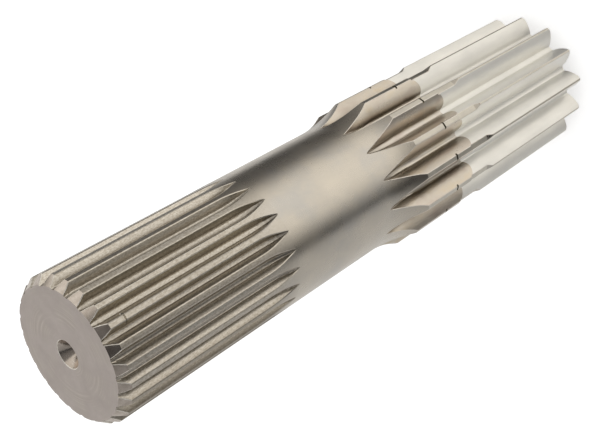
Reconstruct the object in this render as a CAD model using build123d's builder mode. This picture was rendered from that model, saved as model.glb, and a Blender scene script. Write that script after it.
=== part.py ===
"""Splined sun-gear shaft: a drive shaft turned and hobbed from one piece of steel.

The shaft stands on its gear end, with +Z along its axis up to the splined end.
Lengths are in millimetres and angles in degrees.
"""
from build123d import *
from math import acos, cos, degrees, pi, radians, sin, sqrt, tan
import os

# ---- Driving dimensions --------------------------------------------------------------

overall_length = 256.5

# Involute spline at the top end, in ISO 4156 proportions.
# Its tips are flush with the plain shank below it.
spline_teeth = 24
spline_module = 2.0
spline_pressure_angle = 30.0
spline_addendum = 0.5  # in modules
spline_dedendum = 0.9  # in modules
spline_clearance = 0.1  # off each tooth's thickness, so that a hub slides on
spline_flank_arcs = 1  # arcs that draw each involute, within 0.005 mm of it
spline_full_depth_length = 61.8
spline_hob_diameter = 70.0
end_chamfer_length = 3.1
end_chamfer_depth = 2.45

# Sun-gear teeth at the bottom end
gear_teeth = 14
gear_module = 3.5
gear_pressure_angle = 25.0
gear_profile_shift = 0.5
gear_addendum = 1.0  # in modules
gear_dedendum = 1.05  # in modules
gear_flank_arcs = 2  # within 0.008 mm of the involute
gear_full_depth_length = 118.2
gear_hob_diameter = 80.0
gear_end_chamfer = 0.8
ground_length = 82.0  # bottom face to where the ground flanks stop
grinding_stock = 0.15  # left on each flank past that point

# Lands turned on the gear blank, from the bottom face upwards
working_land_length = 70.6
land_step_length = 2.8
relief_land_length = 11.5
relief_land_drop = 1.0  # below the tips of the working teeth
front_land_length = 28.6
front_land_drop = 0.55
neck_radius = 50.0  # hollow sweep from the front land up to the shank

# Narrow witness groove round the front land
groove_width = 0.8
groove_depth = 0.45
groove_offset = 19.0  # from the top of the front land to the groove's middle

# Centre holes, one in each end face
centre_hole_mouth = 9.8
centre_hole_pilot = 4.6
centre_hole_depth = 14.0
centre_hole_angle = 60.0

cutter_overrun = 1.0  # how far each cutter passes clear of the blank


# ---- Involute teeth ------------------------------------------------------------------

spline_tooth = {
    "teeth": spline_teeth,
    "module": spline_module,
    "pressure_angle": spline_pressure_angle,
    "shift": 0,
    "extra": -spline_clearance / 2,
}
ground_tooth = {
    "teeth": gear_teeth,
    "module": gear_module,
    "pressure_angle": gear_pressure_angle,
    "shift": gear_profile_shift,
    "extra": 0,
}
hobbed_tooth = ground_tooth | {"extra": grinding_stock}


def involute(angle):
    """The involute function, of an angle in radians."""
    return tan(angle) - angle


def gap_half_angle(radius, teeth, module, pressure_angle, shift, extra):
    """Half of the space between two teeth at a radius, in degrees.

    The extra is metal left on each flank, or taken off it if negative.
    """
    alpha = radians(pressure_angle)
    base_radius = module * teeth / 2 * cos(alpha)
    tooth_at_pitch = (pi / 2 + 2 * shift * tan(alpha)) / teeth
    angle_at_radius = acos(min(1.0, base_radius / radius))
    tooth = tooth_at_pitch + involute(alpha) - involute(angle_at_radius) + extra / radius
    return 180 / teeth - degrees(tooth)


def flank_points(side, tooth, arcs, root_radius, outer_radius):
    """Points along one flank of the space that lies on +X: each arc's two ends and middle."""
    step = (outer_radius - root_radius) / (2 * arcs)
    radii = [root_radius + step * index for index in range(2 * arcs + 1)]
    angles = [radians(side * gap_half_angle(radius, **tooth)) for radius in radii]
    return [(radius * cos(angle), radius * sin(angle)) for radius, angle in zip(radii, angles)]


def gap_section(height, tooth, arcs, root_radius, outer_radius):
    """Section of the space on +X: two involute flanks and a flat root."""
    left = flank_points(1, tooth, arcs, root_radius, outer_radius)
    right = flank_points(-1, tooth, arcs, root_radius, outer_radius)
    with BuildSketch(Plane.XY.offset(height)) as section:
        with BuildLine():
            for first in range(0, 2 * arcs, 2):
                ThreePointArc(*left[first : first + 3])
                ThreePointArc(*right[first : first + 3])
            ThreePointArc(left[-1], (outer_radius, 0), right[-1])
            Line(left[0], right[0])
        make_face()
    return section.sketch


def exit_angle(root_radius, outer_radius, hob_radius):
    """How far a hob turns about its own centre until its tips clear the blank."""
    return degrees(acos((hob_radius - (outer_radius - root_radius)) / hob_radius))


# ---- Turned blank --------------------------------------------------------------------

shank_radius = spline_module * (spline_teeth / 2 + spline_addendum)
tip_radius = gear_module * (gear_teeth / 2 + gear_profile_shift + gear_addendum)
relief_radius = tip_radius - relief_land_drop
front_radius = tip_radius - front_land_drop

relief_bottom = working_land_length + land_step_length
front_bottom = relief_bottom + relief_land_length
front_top = front_bottom + front_land_length
groove_middle = front_top - groove_offset
neck_centre_radius = shank_radius + neck_radius
neck_top = front_top + sqrt(neck_radius**2 - (neck_centre_radius - front_radius) ** 2)
chamfer_bottom = overall_length - end_chamfer_length

with BuildPart() as blank:
    with BuildSketch(Plane.XZ):
        with BuildLine():
            Polyline(
                (0, 0),
                (tip_radius - gear_end_chamfer, 0),
                (tip_radius, gear_end_chamfer),
                (tip_radius, working_land_length),
                (relief_radius, relief_bottom),
                (relief_radius, front_bottom),
                (front_radius, front_bottom),
                (front_radius, front_top),
            )
            RadiusArc((front_radius, front_top), (shank_radius, neck_top), neck_radius)
            Polyline(
                (shank_radius, neck_top),
                (shank_radius, chamfer_bottom),
                (shank_radius - end_chamfer_depth, overall_length),
                (0, overall_length),
                (0, 0),
            )
        make_face()
        with Locations((front_radius, groove_middle)):
            Rectangle(2 * groove_depth, groove_width, mode=Mode.SUBTRACT)
    revolve(axis=Axis.Z)


# ---- Gear cutters --------------------------------------------------------------------
# The hob rises out of the work along its own radius, so each space ends in a
# scooped, pointed run-out where the neck meets the shank. The flanks of the
# working teeth are then ground, and the stock past the wheel's stroke stays on.

gear_root_radius = gear_module * (gear_teeth / 2 + gear_profile_shift - gear_dedendum)
gear_outer_radius = tip_radius + cutter_overrun
gear_hob_radius = gear_hob_diameter / 2
gear_hobbed_length = gear_full_depth_length - ground_length
gear_space = (gear_flank_arcs, gear_root_radius, gear_outer_radius)
gear_hob_axis = Axis((gear_root_radius + gear_hob_radius, 0, gear_full_depth_length), (0, 1, 0))
gear_hob_turn = exit_angle(gear_root_radius, gear_outer_radius, gear_hob_radius)

with BuildPart() as grinding_wheel:
    extrude(gap_section(-cutter_overrun, ground_tooth, *gear_space), ground_length + cutter_overrun)

with BuildPart() as gear_hob:
    extrude(gap_section(ground_length, hobbed_tooth, *gear_space), gear_hobbed_length)
    revolve(gap_section(gear_full_depth_length, hobbed_tooth, *gear_space), gear_hob_axis, gear_hob_turn)


# ---- Spline cutter -------------------------------------------------------------------

spline_root_radius = spline_module * (spline_teeth / 2 - spline_dedendum)
spline_outer_radius = shank_radius + cutter_overrun
spline_hob_radius = spline_hob_diameter / 2
spline_space = (spline_flank_arcs, spline_root_radius, spline_outer_radius)
spline_bottom = overall_length - spline_full_depth_length
spline_cut_length = spline_full_depth_length + cutter_overrun
spline_hob_axis = Axis((spline_root_radius + spline_hob_radius, 0, spline_bottom), (0, -1, 0))
spline_hob_turn = exit_angle(spline_root_radius, spline_outer_radius, spline_hob_radius)

with BuildPart() as spline_hob:
    extrude(gap_section(spline_bottom, spline_tooth, *spline_space), spline_cut_length)
    revolve(gap_section(spline_bottom, spline_tooth, *spline_space), spline_hob_axis, spline_hob_turn)


# ---- Finished shaft ------------------------------------------------------------------
# A gear tooth and a spline tooth both stand on +X.

with BuildPart() as splined_shaft:
    add(blank.part)
    with PolarLocations(0, gear_teeth, start_angle=180 / gear_teeth):
        add(grinding_wheel.part, mode=Mode.SUBTRACT)
        add(gear_hob.part, mode=Mode.SUBTRACT)
    with PolarLocations(0, spline_teeth, start_angle=180 / spline_teeth):
        add(spline_hob.part, mode=Mode.SUBTRACT)
    with Locations(Plane.XY.offset(overall_length), -Plane.XY):
        CounterSinkHole(
            centre_hole_pilot / 2,
            centre_hole_mouth / 2,
            centre_hole_depth,
            centre_hole_angle,
        )

splined_shaft.part.label = "splined_shaft"
os.makedirs("parts", exist_ok=True)
export_step(splined_shaft.part, "parts/splined_shaft.step")
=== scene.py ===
"""A splined sun-gear shaft, turned and hobbed from one bar of gear steel, on a pale floor."""
from math import acos, atan2, cos, pi, radians, sin, sqrt, tan

import bmesh
import bpy
import numpy as np
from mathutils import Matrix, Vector


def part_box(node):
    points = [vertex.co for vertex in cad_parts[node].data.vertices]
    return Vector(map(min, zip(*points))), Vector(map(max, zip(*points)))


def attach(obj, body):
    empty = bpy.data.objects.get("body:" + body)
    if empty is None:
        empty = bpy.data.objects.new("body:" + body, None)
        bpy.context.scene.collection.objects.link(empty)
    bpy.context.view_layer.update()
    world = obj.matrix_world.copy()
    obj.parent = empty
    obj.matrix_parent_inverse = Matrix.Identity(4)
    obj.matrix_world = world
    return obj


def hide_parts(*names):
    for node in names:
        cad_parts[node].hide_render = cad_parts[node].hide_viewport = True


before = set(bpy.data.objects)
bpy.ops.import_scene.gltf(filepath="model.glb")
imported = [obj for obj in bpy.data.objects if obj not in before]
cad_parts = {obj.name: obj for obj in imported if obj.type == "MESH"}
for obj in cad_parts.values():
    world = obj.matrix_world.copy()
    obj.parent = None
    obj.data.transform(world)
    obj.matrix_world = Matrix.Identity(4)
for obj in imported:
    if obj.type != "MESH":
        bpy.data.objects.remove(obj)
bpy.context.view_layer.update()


# ---- The turned bar --------------------------------------------------------------------
# A bar of case-hardening steel, turned between centres. It has a plain shank, a hollow
# neck that sweeps out to the gear's head, and stepped lands with one narrow witness
# groove. Sizes are in millimetres, and the bar's length and reach are the frame's.

MM = 0.001
_, top_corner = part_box("splined_shaft")
LENGTH = top_corner.z / MM
WORKING_R = top_corner.x / MM
RELIEF_R = WORKING_R - 1.0
FRONT_R = WORKING_R - 0.55
GROOVE_R = FRONT_R - 0.45
SHANK_R = 25.0
FOOT_CHAMFER = 0.8
WORKING_TOP = 70.6
RELIEF_BOTTOM = 73.4
RELIEF_TOP = 84.9
GROOVE_BOTTOM, GROOVE_TOP = 94.05, 94.95
NECK_BOTTOM = 113.5
NECK_SWEEP = 50.0
NECK_TOP = NECK_BOTTOM + sqrt(NECK_SWEEP**2 - (SHANK_R + NECK_SWEEP - FRONT_R) ** 2)
MIDDLE_RING = 157.0  # where the gear half and the spline half of the skin meet
WEAR_PATCH = (8, 8, 14)  # patches that handling has rubbed more or less smooth
WEAR = 0.04  # how far they take the roughness up and down


def bar_radius(height):
    """The bar's radius on the hollow neck and on the plain shank above it."""
    if height >= NECK_TOP:
        return SHANK_R
    return SHANK_R + NECK_SWEEP - sqrt(NECK_SWEEP**2 - (NECK_TOP - height) ** 2)


def ring(height, radius, angles):
    """Points round the bar at a height."""
    return [(radius * cos(angle), radius * sin(angle), height) for angle in angles]


def srgb(code):
    """A hex colour as linear red, green, blue and a full alpha."""
    parts = [int(code[i:i + 2], 16) / 255 for i in (1, 3, 5)]
    return (*[c / 12.92 if c <= 0.04045 else ((c + 0.055) / 1.055) ** 2.4 for c in parts], 1.0)


def add_node(tree, kind, inputs=(), stops=(), **settings):
    """Adds a node, sets its properties and ramp stops, and gives each input a value or a link.

    The first two stops are a ramp's own ends, and the others are added between them.
    """
    made = tree.nodes.new(kind)
    for name, value in settings.items():
        setattr(made, name, value)
    for number, (place, code) in enumerate(stops):
        elements = made.color_ramp.elements
        stop = elements[-number] if number < 2 else elements.new(place)
        stop.position, stop.color = place, srgb(code)
    for socket, value in dict(inputs).items():
        if isinstance(value, bpy.types.NodeSocket):
            tree.links.new(value, made.inputs[socket])
        else:
            made.inputs[socket].default_value = value
    return made


def new_material(name):
    """An empty node material and its tree."""
    material = bpy.data.materials.new(name)
    material.use_nodes = True
    material.node_tree.nodes.clear()
    return material, material.node_tree


def mottle(tree, size, detail=3.0):
    """Soft patches from nought to one, of a size in millimetres along each axis."""
    place = add_node(tree, "ShaderNodeTexCoord").outputs["Object"]
    scaled = add_node(tree, "ShaderNodeVectorMath", {
        0: place, 1: [1 / (length * MM) for length in size],
    }, operation="MULTIPLY")
    return add_node(tree, "ShaderNodeTexNoise", {
        "Vector": scaled.outputs[0], "Scale": 1.0, "Detail": detail, "Roughness": 0.6,
    }).outputs["Fac"]


def specks(tree, size, least, most):
    """Small marks where a fine mottle passes two levels."""
    return add_node(tree, "ShaderNodeMapRange", {
        "Value": mottle(tree, size, 1.0), "From Min": least, "From Max": most,
    }).outputs[0]


def steel(material, tree, colour, marks, depth, roughness, metallic=1.0):
    """Bare steel of a colour, with tool marks of a depth in millimetres, worn in patches."""
    relief = add_node(tree, "ShaderNodeBump", {"Height": marks, "Distance": depth * MM})
    worn = add_node(tree, "ShaderNodeMapRange", {
        "Value": mottle(tree, WEAR_PATCH), "From Min": 0.3, "From Max": 0.7,
        "To Min": roughness - WEAR, "To Max": roughness + WEAR,
    })
    shader = add_node(tree, "ShaderNodeBsdfPrincipled", {
        "Base Color": colour, "Metallic": metallic, "Roughness": worn.outputs[0],
        "Normal": relief.outputs["Normal"],
    })
    add_node(tree, "ShaderNodeOutputMaterial", {"Surface": shader.outputs["BSDF"]})
    return material


def satin_colour(tree):
    """The colour of the rubbed bar: faint warm and cool patches, with a few dark dots."""
    clouds = add_node(tree, "ShaderNodeValToRGB", {"Fac": mottle(tree, (13, 13, 18))}, [
        (0.3, "#C3C0BB"), (0.7, "#D4CDC1"), (0.5, "#CDC7BD"),
    ])
    dots = specks(tree, (0.6, 0.6, 0.6), 0.74, 0.84)
    return add_node(tree, "ShaderNodeMix", {
        0: dots, 6: clouds.outputs["Color"], 7: srgb("#A9A199"),
    }, data_type="RGBA").outputs[2]


def turned_finish():
    """Alloy steel, turned and rubbed with emery: a soft satin with faint cloudy patches."""
    material, tree = new_material("turned_steel")
    # the tool's rings are drawn every 0.5 mm, coarser than their real 0.1 mm feed
    rings = mottle(tree, (9, 9, 0.5), 2.0)
    return steel(material, tree, satin_colour(tree), rings, 0.02, 0.28)


finishes = {"turned": turned_finish()}


# ---- End faces and centre holes --------------------------------------------------------
# Each end is faced off square and has a centre hole, a 60 degree cone with a pilot, that
# the bar turned on. The facing tool leaves faint rings round the centre.

FACE_RIM_R = 22.55  # rim of the face at the spline end
GEAR_RIM_R = WORKING_R - FOOT_CHAMFER
FACE_RINGS = (8.0, 13.0, 18.0)
OUTER_FACE_RING = 21.5
CENTRE_MOUTH_R = 4.9
CENTRE_PILOT_R = 2.3
CENTRE_DEPTH = 14.0
CONE_DEPTH = (CENTRE_MOUTH_R - CENTRE_PILOT_R) / tan(radians(30))
DRILL_POINT = CENTRE_PILOT_R * 0.5  # depth of the drill's own cone
MOUTH_BREAK = 0.12
MOUTH_BREAK_DEPTH = MOUTH_BREAK * 1.4
FACE_RING_PITCH = 0.9  # coarser than the real feed of 0.2 mm, so that the rings show

HOLE_RINGS = [  # radius and depth, from the drill point out to the broken edge
    (0.0, CENTRE_DEPTH + DRILL_POINT),
    (CENTRE_PILOT_R, CENTRE_DEPTH),
    (CENTRE_PILOT_R, CONE_DEPTH),
    (CENTRE_MOUTH_R - MOUTH_BREAK, MOUTH_BREAK_DEPTH),
    (CENTRE_MOUTH_R + MOUTH_BREAK, 0.0),
]
HOLE_FINISHES = ["scaled", "scaled", "bored", "rubbed"]  # of the strips between them


def faced_finish():
    """Alloy steel, faced on the lathe: matt, with faint bright rings round the centre."""
    material, tree = new_material("faced_steel")
    place = add_node(tree, "ShaderNodeTexCoord").outputs["Object"]
    flat = add_node(tree, "ShaderNodeVectorMath", {0: place, 1: (1, 1, 0)}, operation="MULTIPLY")
    out = add_node(tree, "ShaderNodeVectorMath", {0: flat.outputs[0]}, operation="LENGTH")
    rings = add_node(tree, "ShaderNodeTexNoise", {
        "W": out.outputs["Value"], "Scale": 1 / (FACE_RING_PITCH * MM), "Detail": 2.0,
        "Roughness": 0.7,
    }, noise_dimensions="1D")
    ringed = add_node(tree, "ShaderNodeValToRGB", {"Fac": rings.outputs["Fac"]}, [
        (0.35, "#C6BCB4"), (0.68, "#D5CBC4"), (0.5, "#CBC2BA"),
    ])
    patches = add_node(tree, "ShaderNodeValToRGB", {"Fac": mottle(tree, (6, 6, 6))}, [
        (0.3, "#C3B9B3"), (0.7, "#D0C6C0"),
    ])
    # the rings show only in places, where the tool rubbed
    colour = add_node(tree, "ShaderNodeMix", {
        0: specks(tree, (8, 8, 8), 0.45, 0.65),
        6: patches.outputs["Color"], 7: ringed.outputs["Color"],
    }, data_type="RGBA")
    return steel(material, tree, colour.outputs[2], rings.outputs["Fac"], 0.008, 0.36)


def bored_finish():
    """Alloy steel, bored by the centre drill: smooth and brownish, with the drill's rings."""
    material, tree = new_material("bored_steel")
    clouds = add_node(tree, "ShaderNodeValToRGB", {"Fac": mottle(tree, (3, 3, 3))}, [
        (0.35, "#C4B9AF"), (0.65, "#DDD3CA"),
    ])
    return steel(material, tree, clouds.outputs["Color"], mottle(tree, (6, 6, 0.6)), 0.03, 0.2)


def scaled_finish():
    """Alloy steel under the dark brown scale of hardening, matt and a little uneven."""
    material, tree = new_material("scaled_steel")
    clouds = add_node(tree, "ShaderNodeValToRGB", {"Fac": mottle(tree, (1.5, 1.5, 1.5))}, [
        (0.35, "#666050"), (0.65, "#8A826F"),
    ])
    return steel(material, tree, clouds.outputs["Color"], mottle(tree, (1, 1, 1)), 0.03, 0.45)


def rubbed_edge_glint_finish():
    """Alloy steel at the broken edges, rubbed bright by the file and by handling, and painted
    pale as a painted glint.
    """
    material, tree = new_material("rubbed_glinting_steel")
    clouds = add_node(tree, "ShaderNodeValToRGB", {"Fac": mottle(tree, (2, 2, 5))}, [
        (0.35, "#DAD3C8"), (0.65, "#F0EBE2"),
    ])
    # partly wear and partly painted glint: pale and only part metallic, so the edges read as bright
    # lines from every side
    return steel(
        material, tree, clouds.outputs["Color"], mottle(tree, (0.6, 0.6, 0.6)), 0.02, 0.42, 0.7
    )


finishes |= {
    "faced": faced_finish(), "bored": bored_finish(), "scaled": scaled_finish(),
    "rubbed": rubbed_edge_glint_finish(),
}


# ---- Gear teeth ------------------------------------------------------------------------
# Fourteen sun-gear teeth, cut by a hob that leaves a flat root with round corners and
# climbs out through the neck in pointed scoops. Their lower flanks are then ground, and
# what the wheel doesn't reach keeps its stock and the straw tints of hardening, with
# painted shade along the foot of its flanks.

GEAR = {"teeth": 14, "module": 3.5, "pressure_angle": 25.0, "shift": 0.5}
GEAR_HOB = {"root_r": 22.575, "hob_r": 40.0}
GEAR_FULL_DEPTH = 118.2
GEAR_CORNER = 0.8
GEAR_EDGE_BREAK = 0.16
GROUND_TOP = 82.0
GROUND_BOW = 0.2  # rise of the ground part's edge, per square millimetre from mid-flank
MID_FLANK_R = 25.6
GRINDING_STOCK = 0.15
HAIR = 0.02  # height between the two rows of points at a square step
WORKING_ROWS = (FOOT_CHAMFER, 2.5, 24.0, 48.0, WORKING_TOP)  # heights of rows of points
RELIEF_ROW = 78.0
FRONT_ROWS = (89.0, 104.0)
NECK_ROW = 116.0
HOB_OVERRUN = 2.0  # how far the hob's section reaches past the bar
FLANK_POINTS = 41
CORNER_POINTS = 7
BREAK_SHARE = 0.3  # most that a broken edge takes of its land or of a space's depth
LEAST_DEPTH = 0.0001  # of a scoop, before its rows stop
SCOOP_ROWS = 22
SCOOP_POINT = 0.75  # share of the hob's width that is gone where the scoop ends
SCOOP_TAPER = 4  # how late in the scoop it narrows, as a power
# distances past the scoops, with the share of the scoops' uneven spacing that is left
SPREAD = ((0.15, 1.0), (1.2, 0.8), (3.0, 0.5), (6.0, 0.2), (11.0, 0.0))
BARE = ["turned"] * 3  # finishes of a space, of its edges and of its land
FACED = ["faced"] * 3
GROUND = ["ground", "rubbed", "skimmed"]
STEPPED = ["ground", "rubbed", "turned"]
HOBBED = ["hobbed", "rubbed", "skimmed"]
GROOVED = ["hobbed", "scaled", "scaled"]
NECKED = ["hobbed", "rubbed", "turned"]

gear_pitch = pi / GEAR["teeth"]
gear_flank = [0, 0.06, 0.12, 0.17, 0.22, 0.27] + list(np.linspace(0.33, 1.0, 12))
gear_land = 6


def half_space(radius, teeth, module, pressure_angle, shift, extra):
    """Half the angle of the space between two involute teeth at a radius, in radians."""
    alpha = radians(pressure_angle)
    base = module * teeth / 2 * cos(alpha)
    at_radius = acos(min(1.0, base / radius))
    tooth = (pi / 2 + 2 * shift * tan(alpha)) / teeth
    tooth += tan(alpha) - alpha - tan(at_radius) + at_radius + extra / radius
    return pi / teeth - tooth


def hob_profile(tooth, root_r, outer_r, corner):
    """Half of the hob's section: its flat tip, a round corner and one involute flank."""
    flank = []
    for radius in np.linspace(root_r + corner, outer_r, FLANK_POINTS):
        angle = half_space(radius, **tooth)
        flank.append((radius * cos(angle), radius * sin(angle)))
    half_tip = flank[0][1] - corner
    round_corner = []
    for turn in np.radians(np.linspace(0, 90, CORNER_POINTS)[:-1]):
        x, y = root_r + corner * (1 - cos(turn)), half_tip + corner * sin(turn)
        round_corner.append((x, y))
    points = np.array([(root_r, 0.0), *round_corner, *flank])
    steps = np.hypot(*np.diff(points, axis=0).T)
    return points, np.concatenate([[0], np.cumsum(steps)])


def scoop_lifts(root_r, hob_r):
    """How far the hob has climbed at each row of a scoop, closer together at its point."""
    run = sqrt(hob_r**2 - (root_r + hob_r - SHANK_R) ** 2)
    return [run * sin(radians(90 * row / SCOOP_ROWS)) for row in range(1, SCOOP_ROWS + 1)], run


def space_row(height, lift, bar_r, profile, hob, flank, land, pitch, edge_break, bow=0.0):
    """A row of points across half a space and half a tooth, or nothing above the scoop.

    The hob has climbed by lift, measured along the bar from its full depth.
    """
    points, lengths = profile
    _, run = scoop_lifts(**hob)
    lift = max(0.0, lift)
    centre = hob["root_r"] + hob["hob_r"]
    across = points[:, 1] * (1 - SCOOP_POINT * min(1.0, lift / run) ** SCOOP_TAPER)
    out = centre - np.sqrt(np.maximum((centre - points[:, 0]) ** 2 - lift**2, 0.0))
    radius = np.hypot(out, across)
    if radius[0] >= bar_r - LEAST_DEPTH:
        return None
    stop = int(np.argmax(radius >= bar_r))
    share = (bar_r - radius[stop - 1]) / (radius[stop] - radius[stop - 1])
    total = lengths[stop - 1] + share * (lengths[stop] - lengths[stop - 1])
    edge = atan2(np.interp(total, lengths, across), np.interp(total, lengths, out))
    room = min((pitch - edge) * bar_r, bar_r - radius[0])
    broken = min(edge_break, BREAK_SHARE * room)
    at = np.array(flank) * (total - broken)
    xs, ys = np.interp(at, lengths, out), np.interp(at, lengths, across)
    heights = height + bow * GROUND_BOW * (np.hypot(xs, ys) - MID_FLANK_R) ** 2
    start = edge + broken / bar_r
    land_angles = np.linspace(start, pitch, land + 1)
    return list(zip(xs, ys, heights)) + ring(heights[-1], bar_r, land_angles)


def angles_of(row):
    """The angle round the bar of each point of a row."""
    return np.array([atan2(y, x) for x, y, _ in row])


def spread_rings(last_row, way, even):
    """Rings from the scoops' last row onwards, whose points ease into an even spacing."""
    rings = []
    for distance, share in SPREAD:
        height = last_row[0][2] + way * distance
        angles = share * angles_of(last_row) + (1 - share) * even
        rings.append((ring(height, bar_radius(height), angles), BARE))
    return rings


def space_sheet(name, rows, flank):
    """A sheet over one space and the halves of its two teeth, from rows of a half of it.

    A row has its points, and the finishes of the space, edges and land of the strip before
    it. Each face keeps the number of its finish. Each corner of a face keeps its place
    across the space: nought in the middle of the root, a half at each edge and one in
    mid-land, with a minus sign on one side.
    """
    half = len(rows[0][0])
    whole = 2 * half - 1
    edge = len(flank) - 1
    places = [share / 2 for share in flank] + list(np.linspace(0.5, 1.0, half - edge)[1:])
    vertices, point_places = [], []
    for points, _ in rows:
        mirror = [(x, -y, z) for x, y, z in points[:0:-1]]
        vertices += [(x * MM, y * MM, z * MM) for x, y, z in mirror + points]
        point_places += [-place for place in places[:0:-1]] + places
    faces, numbers = [], []
    names = list(finishes)
    for row, (_, zones) in enumerate(rows[1:]):
        for column in range(whole - 1):
            first = row * whole + column
            faces.append((first, first + 1, first + whole + 1, first + whole))
            # under nought in the space, nought on its broken edge and over nought on the land
            past_edge = int(abs(column + 1.5 - half)) - edge
            zone = min(1, max(-1, past_edge)) + 1
            numbers.append(names.index(zones[zone]))
    mesh = bpy.data.meshes.new(name)
    mesh.from_pydata(vertices, [], faces)
    mesh.attributes.new("finish", "INT", "FACE").data.foreach_set("value", numbers)
    corner_places = [point_places[index] for face in faces for index in face]
    mesh.attributes.new("across", "FLOAT", "CORNER").data.foreach_set("value", corner_places)
    mesh.materials.append(finishes["turned"])
    made = bpy.data.objects.new(name, mesh)
    bpy.context.scene.collection.objects.link(made)
    return made


def hobbed_gear_finish():
    """Alloy steel, hobbed and hardened: straw flanks, clean root, painted shade at their foot."""
    material, tree = new_material("hobbed_gear_steel")
    across = add_node(tree, "ShaderNodeAttribute", attribute_name="across")
    side = add_node(tree, "ShaderNodeMath", {0: across.outputs["Fac"]}, operation="ABSOLUTE")
    wander = add_node(tree, "ShaderNodeMapRange", {
        "Value": mottle(tree, (1.6, 1.6, 6)), "To Min": -0.04, "To Max": 0.04,
    })
    place = add_node(tree, "ShaderNodeMath", {
        0: side.outputs[0], 1: wander.outputs[0],
    }, operation="ADD")
    # painted shade: across each space the root stays pale, and a dark band is painted along the
    # foot of each flank, in the corners by the root
    ramp = add_node(tree, "ShaderNodeValToRGB", {"Fac": place.outputs[0]}, [
        (0.0, "#DBD6CE"), (0.5, "#DCD5CB"), (0.08, "#D0CBC2"), (0.095, "#8E867A"),
        (0.13, "#857D71"), (0.18, "#B2ABA1"), (0.35, "#D2CBC1"),
    ])
    tint = add_node(tree, "ShaderNodeValToRGB", {"Fac": mottle(tree, (6, 6, 14))}, [
        (0.3, "#F1EAE8"), (0.7, "#FFF8EA"), (0.5, "#FDFCFA"),
    ])
    colour = add_node(tree, "ShaderNodeMix", {
        0: 1.0, 6: ramp.outputs["Color"], 7: tint.outputs["Color"],
    }, data_type="RGBA", blend_type="MULTIPLY")
    grain = mottle(tree, (0.7, 0.7, 2.5), 2.0)
    return steel(material, tree, colour.outputs[2], grain, 0.03, 0.3)


def ground_finish():
    """Alloy steel, form ground: pale and frosted, with fine lines along the teeth."""
    material, tree = new_material("ground_gear_steel")
    clouds = add_node(tree, "ShaderNodeValToRGB", {"Fac": mottle(tree, (7, 7, 22))}, [
        (0.3, "#EBE9E3"), (0.7, "#F9F7F0"),
    ])
    # grit lines 0.5 mm apart, drawn coarser than the real 0.05 mm ones
    lines = mottle(tree, (0.5, 0.5, 25), 1.0)
    return steel(material, tree, clouds.outputs["Color"], lines, 0.006, 0.36, 0.66)


def skimmed_finish():
    """Alloy steel on the lands, left from the turning tool: paler and duller than the shank."""
    material, tree = new_material("skim_turned_steel")
    clouds = add_node(tree, "ShaderNodeValToRGB", {"Fac": mottle(tree, (4, 4, 7))}, [
        (0.3, "#C8C4BB"), (0.7, "#DDD8CC"),
    ])
    return steel(material, tree, clouds.outputs["Color"], mottle(tree, (3, 3, 0.5)), 0.02, 0.36)


finishes["skimmed"] = skimmed_finish()
finishes["hobbed"] = hobbed_gear_finish()
finishes["ground"] = ground_finish()

gear_reach = (GEAR_HOB["root_r"], WORKING_R + HOB_OVERRUN, GEAR_CORNER)
ground_profile = hob_profile({**GEAR, "extra": 0.0}, *gear_reach)
hobbed_profile = hob_profile({**GEAR, "extra": GRINDING_STOCK}, *gear_reach)


def gear_row(height, bar_r, profile, bow=0.0):
    """A row across the gear's space at a height."""
    lift = height - GEAR_FULL_DEPTH
    return space_row(
        height, lift, bar_r, profile, GEAR_HOB, gear_flank, gear_land, gear_pitch,
        GEAR_EDGE_BREAK, bow,
    )


gear_even = np.linspace(0, gear_pitch, len(gear_flank) + gear_land + 1)
gear_rim = gear_row(0.0, GEAR_RIM_R, ground_profile)
gear_rows = [
    (ring(depth, radius, gear_even), [finish] * 3)
    for (radius, depth), finish in zip(HOLE_RINGS, ["scaled", *HOLE_FINISHES])
]
gear_rows += [(ring(0.0, radius, gear_even), FACED) for radius in FACE_RINGS]
gear_rows += [(ring(0.0, OUTER_FACE_RING, angles_of(gear_rim)), FACED), (gear_rim, FACED)]
gear_rows += [(gear_row(height, WORKING_R, ground_profile), GROUND) for height in WORKING_ROWS]
gear_rows += [
    (gear_row(RELIEF_BOTTOM, RELIEF_R, ground_profile), STEPPED),
    (gear_row(RELIEF_ROW, RELIEF_R, ground_profile), GROUND),
    (gear_row(GROUND_TOP - HAIR, RELIEF_R, ground_profile, 1.0), GROUND),
    (gear_row(GROUND_TOP + HAIR, RELIEF_R, hobbed_profile, 1.0), HOBBED),
]
for height, radius, zones in (
    (RELIEF_TOP, RELIEF_R, HOBBED), (RELIEF_TOP + HAIR, FRONT_R, HOBBED),
    (FRONT_ROWS[0], FRONT_R, HOBBED), (GROOVE_BOTTOM, FRONT_R, HOBBED),
    (GROOVE_BOTTOM + HAIR, GROOVE_R, GROOVED), (GROOVE_TOP - HAIR, GROOVE_R, GROOVED),
    (GROOVE_TOP, FRONT_R, GROOVED), (FRONT_ROWS[1], FRONT_R, HOBBED),
    (NECK_BOTTOM, FRONT_R, HOBBED), (NECK_ROW, bar_radius(NECK_ROW), NECKED),
):
    gear_rows.append((gear_row(height, radius, hobbed_profile), zones))
for lift in scoop_lifts(**GEAR_HOB)[0]:
    height = GEAR_FULL_DEPTH + lift
    row = gear_row(height, bar_radius(height), hobbed_profile)
    if row:
        gear_rows.append((row, NECKED))
gear_rows += spread_rings(gear_rows[-1][0], 1, gear_even)
gear_rows.append((ring(MIDDLE_RING, SHANK_R, gear_even), BARE))
gear_space = space_sheet("gear_space", gear_rows, gear_flank)


# ---- Spline teeth ----------------------------------------------------------------------
# Twenty-four involute spline teeth at the top end, hobbed to the bar's own radius and
# chamfered at their ends. They are left as cut, darker and grainier than the shank. On one
# side of the shaft their flanks carry painted light and shade, and a strip along that side
# is painted darker as painted shade.

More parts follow.
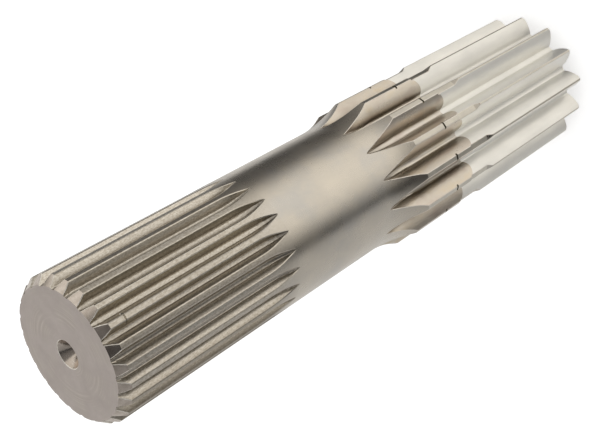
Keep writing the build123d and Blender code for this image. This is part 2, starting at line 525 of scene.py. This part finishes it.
SPLINE = {"teeth": 24, "module": 2.0, "pressure_angle": 30.0, "shift": 0.0, "extra": -0.05}
SPLINE_HOB = {"root_r": 22.2, "hob_r": 35.0}
SPLINE_FULL_DEPTH = 194.7
SPLINE_CORNER = 0.55
SPLINE_EDGE_BREAK = 0.22
CHAMFER_BOTTOM = LENGTH - 3.1
SPLINE_ROWS = (SPLINE_FULL_DEPTH, 212.0, 230.0)
NICK_HEIGHT = 247.9  # a dent across the tip of the tooth on +X
NICK_RIM, NICK_FLOOR = 0.45, 0.18  # from its middle to where it starts and to full depth
SCOOP_SKIN = 0.12  # depth at which the bar's own satin gives way to the cut
LANDS_FADE = (-15, 4)  # past the full depth, from the shank's satin to the spline's grey
# painted shade: the side of the shaft where the flanks take their painted light and shade, the
# distances toward it over which that comes in, and those over which a strip along that side is
# painted darker still
SHADED_SIDE = (cos(radians(-75)), sin(radians(-75)), 0.0)
SIDE_SHADE_START, SIDE_SHADE_FULL = -17, -6  # distances toward the side with painted shade
STRIP_SHADE_START, STRIP_SHADE_FULL = 22, 25.5
CUT = ["splined"] * 3
CHAMFERED = ["splined", "rubbed", "bored"]

spline_pitch = pi / SPLINE["teeth"]
spline_flank = [0, 0.1, 0.17, 0.24, 0.32, 0.46, 0.64, 0.82, 1.0]
spline_land = 5
spline_profile = hob_profile(
    SPLINE, SPLINE_HOB["root_r"], SHANK_R + HOB_OVERRUN, SPLINE_CORNER
)


def hobbed_spline_finish():
    """Alloy steel, hobbed and left as cut: grainy olive grey, painted light and shade on one side.
    """
    material, tree = new_material("hobbed_spline_steel")
    across = add_node(tree, "ShaderNodeAttribute", attribute_name="across").outputs["Fac"]
    wander = add_node(tree, "ShaderNodeMapRange", {
        "Value": mottle(tree, (1.5, 1.5, 4)), "To Min": 0.493, "To Max": 0.507,
    })
    place = add_node(tree, "ShaderNodeMath", {
        0: across, 1: 0.5, 2: wander.outputs[0],
    }, operation="MULTIPLY_ADD").outputs[0]
    # painted light and shade across each space: the flank before the middle is painted lighter
    # toward the root, a thin dark line of painted shade runs along each side of the root, and the
    # other flank is painted darker as painted shade
    flanks = add_node(tree, "ShaderNodeValToRGB", {"Fac": place}, [
        (0.0, "#D2CDC4"), (1.0, "#D2CDC4"), (0.245, "#D2CDC4"), (0.255, "#D6D1C8"),
        (0.4, "#E0DBD2"), (0.43, "#B8B1A6"), (0.45, "#CAC5BC"), (0.5, "#D2CDC4"),
        (0.585, "#DAD5CC"), (0.6, "#999286"), (0.65, "#A8A195"), (0.745, "#A09988"),
        (0.755, "#D2CDC4"),
    ])
    # the lands fade into the shank's satin beside the scoops, while the spaces, a quarter
    # of the way to each side of their middle, are cut steel to their points
    point = add_node(tree, "ShaderNodeTexCoord").outputs["Object"]
    along = add_node(tree, "ShaderNodeSeparateXYZ", {"Vector": point}).outputs["Z"]
    past_scoops = add_node(tree, "ShaderNodeMapRange", {
        "Value": along, "From Min": (SPLINE_FULL_DEPTH + LANDS_FADE[0]) * MM,
        "From Max": (SPLINE_FULL_DEPTH + LANDS_FADE[1]) * MM,
    }).outputs[0]
    off_root = add_node(tree, "ShaderNodeMath", {0: place, 1: 0.5}, operation="SUBTRACT")
    to_side = add_node(tree, "ShaderNodeMath", {0: off_root.outputs[0]}, operation="ABSOLUTE")
    in_space = add_node(tree, "ShaderNodeMapRange", {
        "Value": to_side.outputs[0], "From Min": 0.26, "From Max": 0.24,
    }).outputs[0]
    cut = add_node(tree, "ShaderNodeMath", {0: past_scoops, 1: in_space}, operation="MAXIMUM")
    # painted shade by side: toward one side of the shaft the flanks take the painted light and
    # shade above, away from it they are one even pale grey, and a strip along that side is
    # painted darker still
    toward_shaded_side = add_node(tree, "ShaderNodeVectorMath", {
        0: point, 1: SHADED_SIDE,
    }, operation="DOT_PRODUCT").outputs["Value"]
    flank_shade_share = add_node(tree, "ShaderNodeMapRange", {
        "Value": toward_shaded_side, "From Min": SIDE_SHADE_START * MM, "From Max": SIDE_SHADE_FULL * MM,
    }).outputs[0]
    strip_shade_share = add_node(tree, "ShaderNodeMapRange", {
        "Value": toward_shaded_side, "From Min": STRIP_SHADE_START * MM, "From Max": STRIP_SHADE_FULL * MM,
    }).outputs[0]
    flanks_shaded_by_side = add_node(tree, "ShaderNodeMix", {
        0: flank_shade_share, 6: srgb("#E2DDD4"), 7: flanks.outputs["Color"],
    }, data_type="RGBA")
    grain = mottle(tree, (0.4, 0.4, 0.9), 2.0)
    speckle = add_node(tree, "ShaderNodeValToRGB", {"Fac": grain}, [
        (0.34, "#D8D4CE"), (0.66, "#FFFFFF"),
    ])
    grainy = add_node(tree, "ShaderNodeMix", {
        0: 1.0, 6: flanks_shaded_by_side.outputs[2], 7: speckle.outputs["Color"],
    }, data_type="RGBA", blend_type="MULTIPLY")
    # painted shade: the strip along that side is multiplied darker
    strip_shaded = add_node(tree, "ShaderNodeMix", {
        0: strip_shade_share, 6: grainy.outputs[2], 7: srgb("#C4BEB4"),
    }, data_type="RGBA", blend_type="MULTIPLY")
    colour = add_node(tree, "ShaderNodeMix", {
        0: cut.outputs[0], 6: satin_colour(tree), 7: strip_shaded.outputs[2],
    }, data_type="RGBA")
    return steel(material, tree, colour.outputs[2], grain, 0.02, 0.31)


finishes["splined"] = hobbed_spline_finish()


def spline_row(height, bar_r):
    """A row across the spline's space at a height."""
    lift = SPLINE_FULL_DEPTH - height
    return space_row(
        height, lift, bar_r, spline_profile, SPLINE_HOB, spline_flank, spline_land,
        spline_pitch, SPLINE_EDGE_BREAK,
    )


spline_even = np.linspace(0, spline_pitch, len(spline_flank) + spline_land + 1)
scoop_rows = []
for lift in scoop_lifts(**SPLINE_HOB)[0]:
    height = SPLINE_FULL_DEPTH - lift
    row = spline_row(height, SHANK_R)
    if row:
        shallow = SHANK_R - row[0][0] < SCOOP_SKIN
        scoop_rows.insert(0, (row, BARE if shallow else CUT))
spline_rows = [(ring(MIDDLE_RING, SHANK_R, spline_even), BARE)]
spline_rows += spread_rings(scoop_rows[0][0], -1, spline_even)[::-1] + scoop_rows
nick_rows = [NICK_HEIGHT + reach for reach in (-NICK_RIM, -NICK_FLOOR, NICK_FLOOR, NICK_RIM)]
for height in (*SPLINE_ROWS, *nick_rows, CHAMFER_BOTTOM):
    spline_rows.append((spline_row(height, SHANK_R), CUT))
half_way = spline_row((CHAMFER_BOTTOM + LENGTH) / 2, (SHANK_R + FACE_RIM_R) / 2)
spline_rim = spline_row(LENGTH, FACE_RIM_R)
spline_rows += [(half_way, CHAMFERED), (spline_rim, CHAMFERED)]
spline_rows.append((ring(LENGTH, OUTER_FACE_RING, angles_of(spline_rim)), FACED))
spline_rows += [(ring(LENGTH, radius, spline_even), FACED) for radius in FACE_RINGS[::-1]]
spline_rows += [
    (ring(LENGTH - depth, radius, spline_even), [finish] * 3)
    for (radius, depth), finish in zip(HOLE_RINGS[::-1], ["faced", *HOLE_FINISHES[::-1]])
]
spline_space = space_sheet("spline_space", spline_rows, spline_flank)


# ---- The finished shaft ----------------------------------------------------------------
# The teeth are cut one after another round the axis, so each space is repeated and welded
# to its neighbours, and the two ends meet on the shank in one closed skin of steel.

WELD = 0.004
SLIVER = WELD / 4
SHARP_EDGE = 18  # degrees
NICK_DEPTH = 0.5
NICK_HALF_WIDTH = 1.4
TIP_DEPTH = 0.8  # how far below the tip the dent reaches into the tooth


def round_the_axis(tree, space, teeth):
    """Nodes that turn a space round the axis, once for each tooth."""
    points = add_node(tree, "GeometryNodePoints", {"Count": teeth})
    index = add_node(tree, "GeometryNodeInputIndex")
    place = add_node(tree, "ShaderNodeMath", {0: index.outputs[0], 1: 0.5}, operation="ADD")
    turns = add_node(tree, "ShaderNodeMath", {0: place.outputs[0], 1: teeth}, operation="DIVIDE")
    angle = add_node(tree, "ShaderNodeMath", {0: turns.outputs[0], 1: 2 * pi}, operation="MULTIPLY")
    turned = add_node(tree, "ShaderNodeCombineXYZ", {"Z": angle.outputs[0]})
    return add_node(tree, "GeometryNodeInstanceOnPoints", {
        "Points": points.outputs[0], "Instance": space, "Rotation": turned.outputs[0],
    }).outputs[0]


def shaft_tree():
    """Geometry Nodes that make the whole skin from its two spaces and give it its finishes."""
    tree = bpy.data.node_groups.new("Shaft_from_its_spaces", "GeometryNodeTree")
    sockets = tree.interface
    sockets.new_socket("Geometry", in_out="INPUT", socket_type="NodeSocketGeometry")
    sockets.new_socket("Gear teeth", in_out="INPUT", socket_type="NodeSocketInt")
    sockets.new_socket("Spline space", in_out="INPUT", socket_type="NodeSocketObject")
    sockets.new_socket("Spline teeth", in_out="INPUT", socket_type="NodeSocketInt")
    sockets.new_socket("Weld", in_out="INPUT", socket_type="NodeSocketFloat")
    for finish in finishes:
        sockets.new_socket(finish, in_out="INPUT", socket_type="NodeSocketMaterial")
    sockets.new_socket("Geometry", in_out="OUTPUT", socket_type="NodeSocketGeometry")
    given = add_node(tree, "NodeGroupInput").outputs
    other = add_node(tree, "GeometryNodeObjectInfo", {"Object": given["Spline space"]})
    gear_end = round_the_axis(tree, given["Geometry"], given["Gear teeth"])
    spline_end = round_the_axis(tree, other.outputs["Geometry"], given["Spline teeth"])
    both = add_node(tree, "GeometryNodeJoinGeometry")
    tree.links.new(gear_end, both.inputs[0])
    tree.links.new(spline_end, both.inputs[0])
    real = add_node(tree, "GeometryNodeRealizeInstances", {"Geometry": both.outputs[0]})
    result = add_node(tree, "GeometryNodeMergeByDistance", {
        "Geometry": real.outputs[0], "Distance": given["Weld"],
    }).outputs[0]
    number = add_node(tree, "GeometryNodeInputNamedAttribute", {"Name": "finish"}, data_type="INT")
    for place, finish in enumerate(finishes):
        same = add_node(tree, "FunctionNodeCompare", {
            2: number.outputs["Attribute"], 3: place,
        }, data_type="INT", operation="EQUAL")
        result = add_node(tree, "GeometryNodeSetMaterial", {
            "Geometry": result, "Selection": same.outputs[0], "Material": given[finish],
        }).outputs[0]
    add_node(tree, "NodeGroupOutput", {"Geometry": result})
    return tree


teeth = gear_space.modifiers.new("Teeth", "NODES")
teeth.node_group = shaft_tree()
values = {
    "Gear teeth": GEAR["teeth"], "Spline space": spline_space,
    "Spline teeth": SPLINE["teeth"], "Weld": WELD * MM, **finishes,
}
for socket in teeth.node_group.interface.items_tree:
    if socket.in_out == "INPUT" and socket.name in values:
        teeth[socket.identifier] = values[socket.name]
depsgraph = bpy.context.evaluated_depsgraph_get()
shaft_mesh = bpy.data.meshes.new_from_object(gear_space.evaluated_get(depsgraph))
shaft_mesh.name = "shaft"
gear_space.modifiers.remove(teeth)
for space in (gear_space, spline_space):
    bpy.data.objects.remove(space)

skin = bmesh.new()
skin.from_mesh(shaft_mesh)
bmesh.ops.dissolve_degenerate(skin, edges=skin.edges, dist=SLIVER * MM)
bmesh.ops.recalc_face_normals(skin, faces=skin.faces)
for vertex in skin.verts:
    x, y, z = vertex.co / MM
    on_tip = x > SHANK_R - TIP_DEPTH and abs(y) < NICK_HALF_WIDTH
    if on_tip and abs(z - NICK_HEIGHT) < (NICK_RIM + NICK_FLOOR) / 2:
        vertex.co.x -= NICK_DEPTH * MM
skin.to_mesh(shaft_mesh)
skin.free()
shaft_mesh.shade_smooth()
shaft_mesh.set_sharp_from_angle(angle=radians(SHARP_EDGE))
shaft = bpy.data.objects.new("shaft", shaft_mesh)
bpy.context.scene.collection.objects.link(shaft)
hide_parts("splined_shaft")
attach(shaft, "root")


# ---- Floor -----------------------------------------------------------------------------
# A pale matt sheet that the shaft stands on. It glows for the camera alone, to stay white
# behind the steel, and keeps the shaft's soft shadow. Reflections leave it out: the steel
# shows the tent's own white sheet instead, with the dark gaps that give it contrast.

FLOOR_HALF = 9.0  # metres
FLOOR_GLOW = 0.4

floor_material, tree = new_material("pale_floor")
matt = add_node(tree, "ShaderNodeBsdfDiffuse", {"Color": srgb("#E6E6E6")})
glow = add_node(tree, "ShaderNodeEmission", {"Color": srgb("#FFFFFF"), "Strength": FLOOR_GLOW})
lit = add_node(tree, "ShaderNodeAddShader", {0: matt.outputs[0], 1: glow.outputs[0]})
path = add_node(tree, "ShaderNodeLightPath")
shown = add_node(tree, "ShaderNodeMixShader", {
    0: path.outputs["Is Camera Ray"], 1: matt.outputs[0], 2: lit.outputs[0],
})
add_node(tree, "ShaderNodeOutputMaterial", {"Surface": shown.outputs[0]})
floor_mesh = bpy.data.meshes.new("floor")
corners = [(x * FLOOR_HALF, y * FLOOR_HALF, 0) for x, y in ((-1, -1), (1, -1), (1, 1), (-1, 1))]
floor_mesh.from_pydata(corners, [], [(0, 1, 2, 3)])
floor_mesh.materials.append(floor_material)
floor = bpy.data.objects.new("floor", floor_mesh)
floor.visible_glossy = False
bpy.context.scene.collection.objects.link(floor)


# ---- Studio light ----------------------------------------------------------------------
# A light tent: a white sheet below the shaft that sweeps up ahead of the camera, a large
# soft box on each side and a dimmer one overhead, with the dark room in the gaps.

# the tent is square to the camera and the sheet lies along the shaft, so that UP, the way
# out of the sheet, is level here, where the shaft stands on its end
UP = Vector((0.7018, 0.7124, 0.0)).normalized()
AHEAD = Vector((-0.4665, 0.4596, -0.7557)).normalized()
RIGHT = AHEAD.cross(UP).normalized()
SHEET_LEAN = (0.07, -0.12)  # how far the sheet tips ahead and to the right
SHEET_NEAR, SHEET_AHEAD = 0.27, 0.81  # its light by the camera, and where it sweeps up

world = bpy.data.worlds.new("studio")
bpy.context.scene.world = world
world.use_nodes = True
tree = world.node_tree
tree.nodes.clear()
way = add_node(tree, "ShaderNodeTexCoord").outputs["Generated"]


def toward(rise, turn):
    """The direction at a rise above level and a turn to the right of ahead, in degrees."""
    rise, turn = radians(rise), radians(turn)
    return cos(rise) * (cos(turn) * AHEAD + sin(turn) * RIGHT) + sin(rise) * UP


def facing(direction):
    """How directly each way out of the tent points at a direction, as a cosine."""
    return add_node(tree, "ShaderNodeVectorMath", {
        0: way, 1: direction,
    }, operation="DOT_PRODUCT").outputs["Value"]


def soft_light(direction, edge, full, colour, strength):
    """Light from round a direction, that starts at one cosine and is full at another."""
    share = add_node(tree, "ShaderNodeMapRange", {
        "Value": facing(direction), "From Min": edge, "From Max": full, "To Max": strength,
    }, interpolation_type="SMOOTHSTEP")
    return add_node(tree, "ShaderNodeVectorMath", {
        0: srgb(colour)[:3], "Scale": share.outputs[0],
    }, operation="SCALE").outputs[0]


sheet_rise = add_node(tree, "ShaderNodeMapRange", {
    "Value": facing(AHEAD), "From Min": -1.0,
    "To Min": SHEET_NEAR, "To Max": SHEET_AHEAD,
}).outputs[0]
sheet_down = (-UP + SHEET_LEAN[0] * AHEAD + SHEET_LEAN[1] * RIGHT).normalized()
# the sheet, the key box on the right, the box on the left and the one overhead
lights = [
    soft_light(sheet_down, sin(radians(-4)), sin(radians(7)), "#FFFDFA", sheet_rise),
    soft_light(toward(42, 68), cos(radians(53)), 1.0, "#FFFAF1", 0.95),
    soft_light(toward(41, -95), cos(radians(44)), cos(radians(34)), "#FFFCF4", 0.67),
    soft_light(UP, cos(radians(100)), cos(radians(36)), "#FFFAF4", 0.19),
]
tent = lights[0]
for light in lights[1:]:
    tent = add_node(tree, "ShaderNodeVectorMath", {0: tent, 1: light}, operation="ADD").outputs[0]
in_steel = add_node(tree, "ShaderNodeBackground", {"Color": tent, "Strength": 1.0})
white = add_node(tree, "ShaderNodeBackground", {"Color": srgb("#FFFFFF"), "Strength": 1.0})
path = add_node(tree, "ShaderNodeLightPath").outputs
mirrored = add_node(tree, "ShaderNodeMath", {
    0: path["Is Glossy Ray"], 1: path["Is Transmission Ray"],
}, operation="MAXIMUM")
seen = add_node(tree, "ShaderNodeMixShader", {
    0: mirrored.outputs[0], 1: white.outputs[0], 2: in_steel.outputs[0],
})
add_node(tree, "ShaderNodeOutputWorld", {"Surface": seen.outputs[0]})


# ---- Camera ----------------------------------------------------------------------------
# A short telephoto lens, looking down along the shaft from its splined end, so that the
# end face is near and the gear teeth are far.

lens = bpy.data.cameras.new("camera")
lens.sensor_width = 36.0
lens.lens = 62.77
lens.clip_start = 0.01
camera = bpy.data.objects.new("camera", lens)
camera.location = (0.285488, -0.00764, 0.393255)
camera.rotation_euler = (radians(-31.8209), radians(40.9127), radians(-44.5664))
bpy.context.scene.collection.objects.link(camera)
bpy.context.scene.camera = camera
bpy.context.scene.view_settings.view_transform = "Standard"
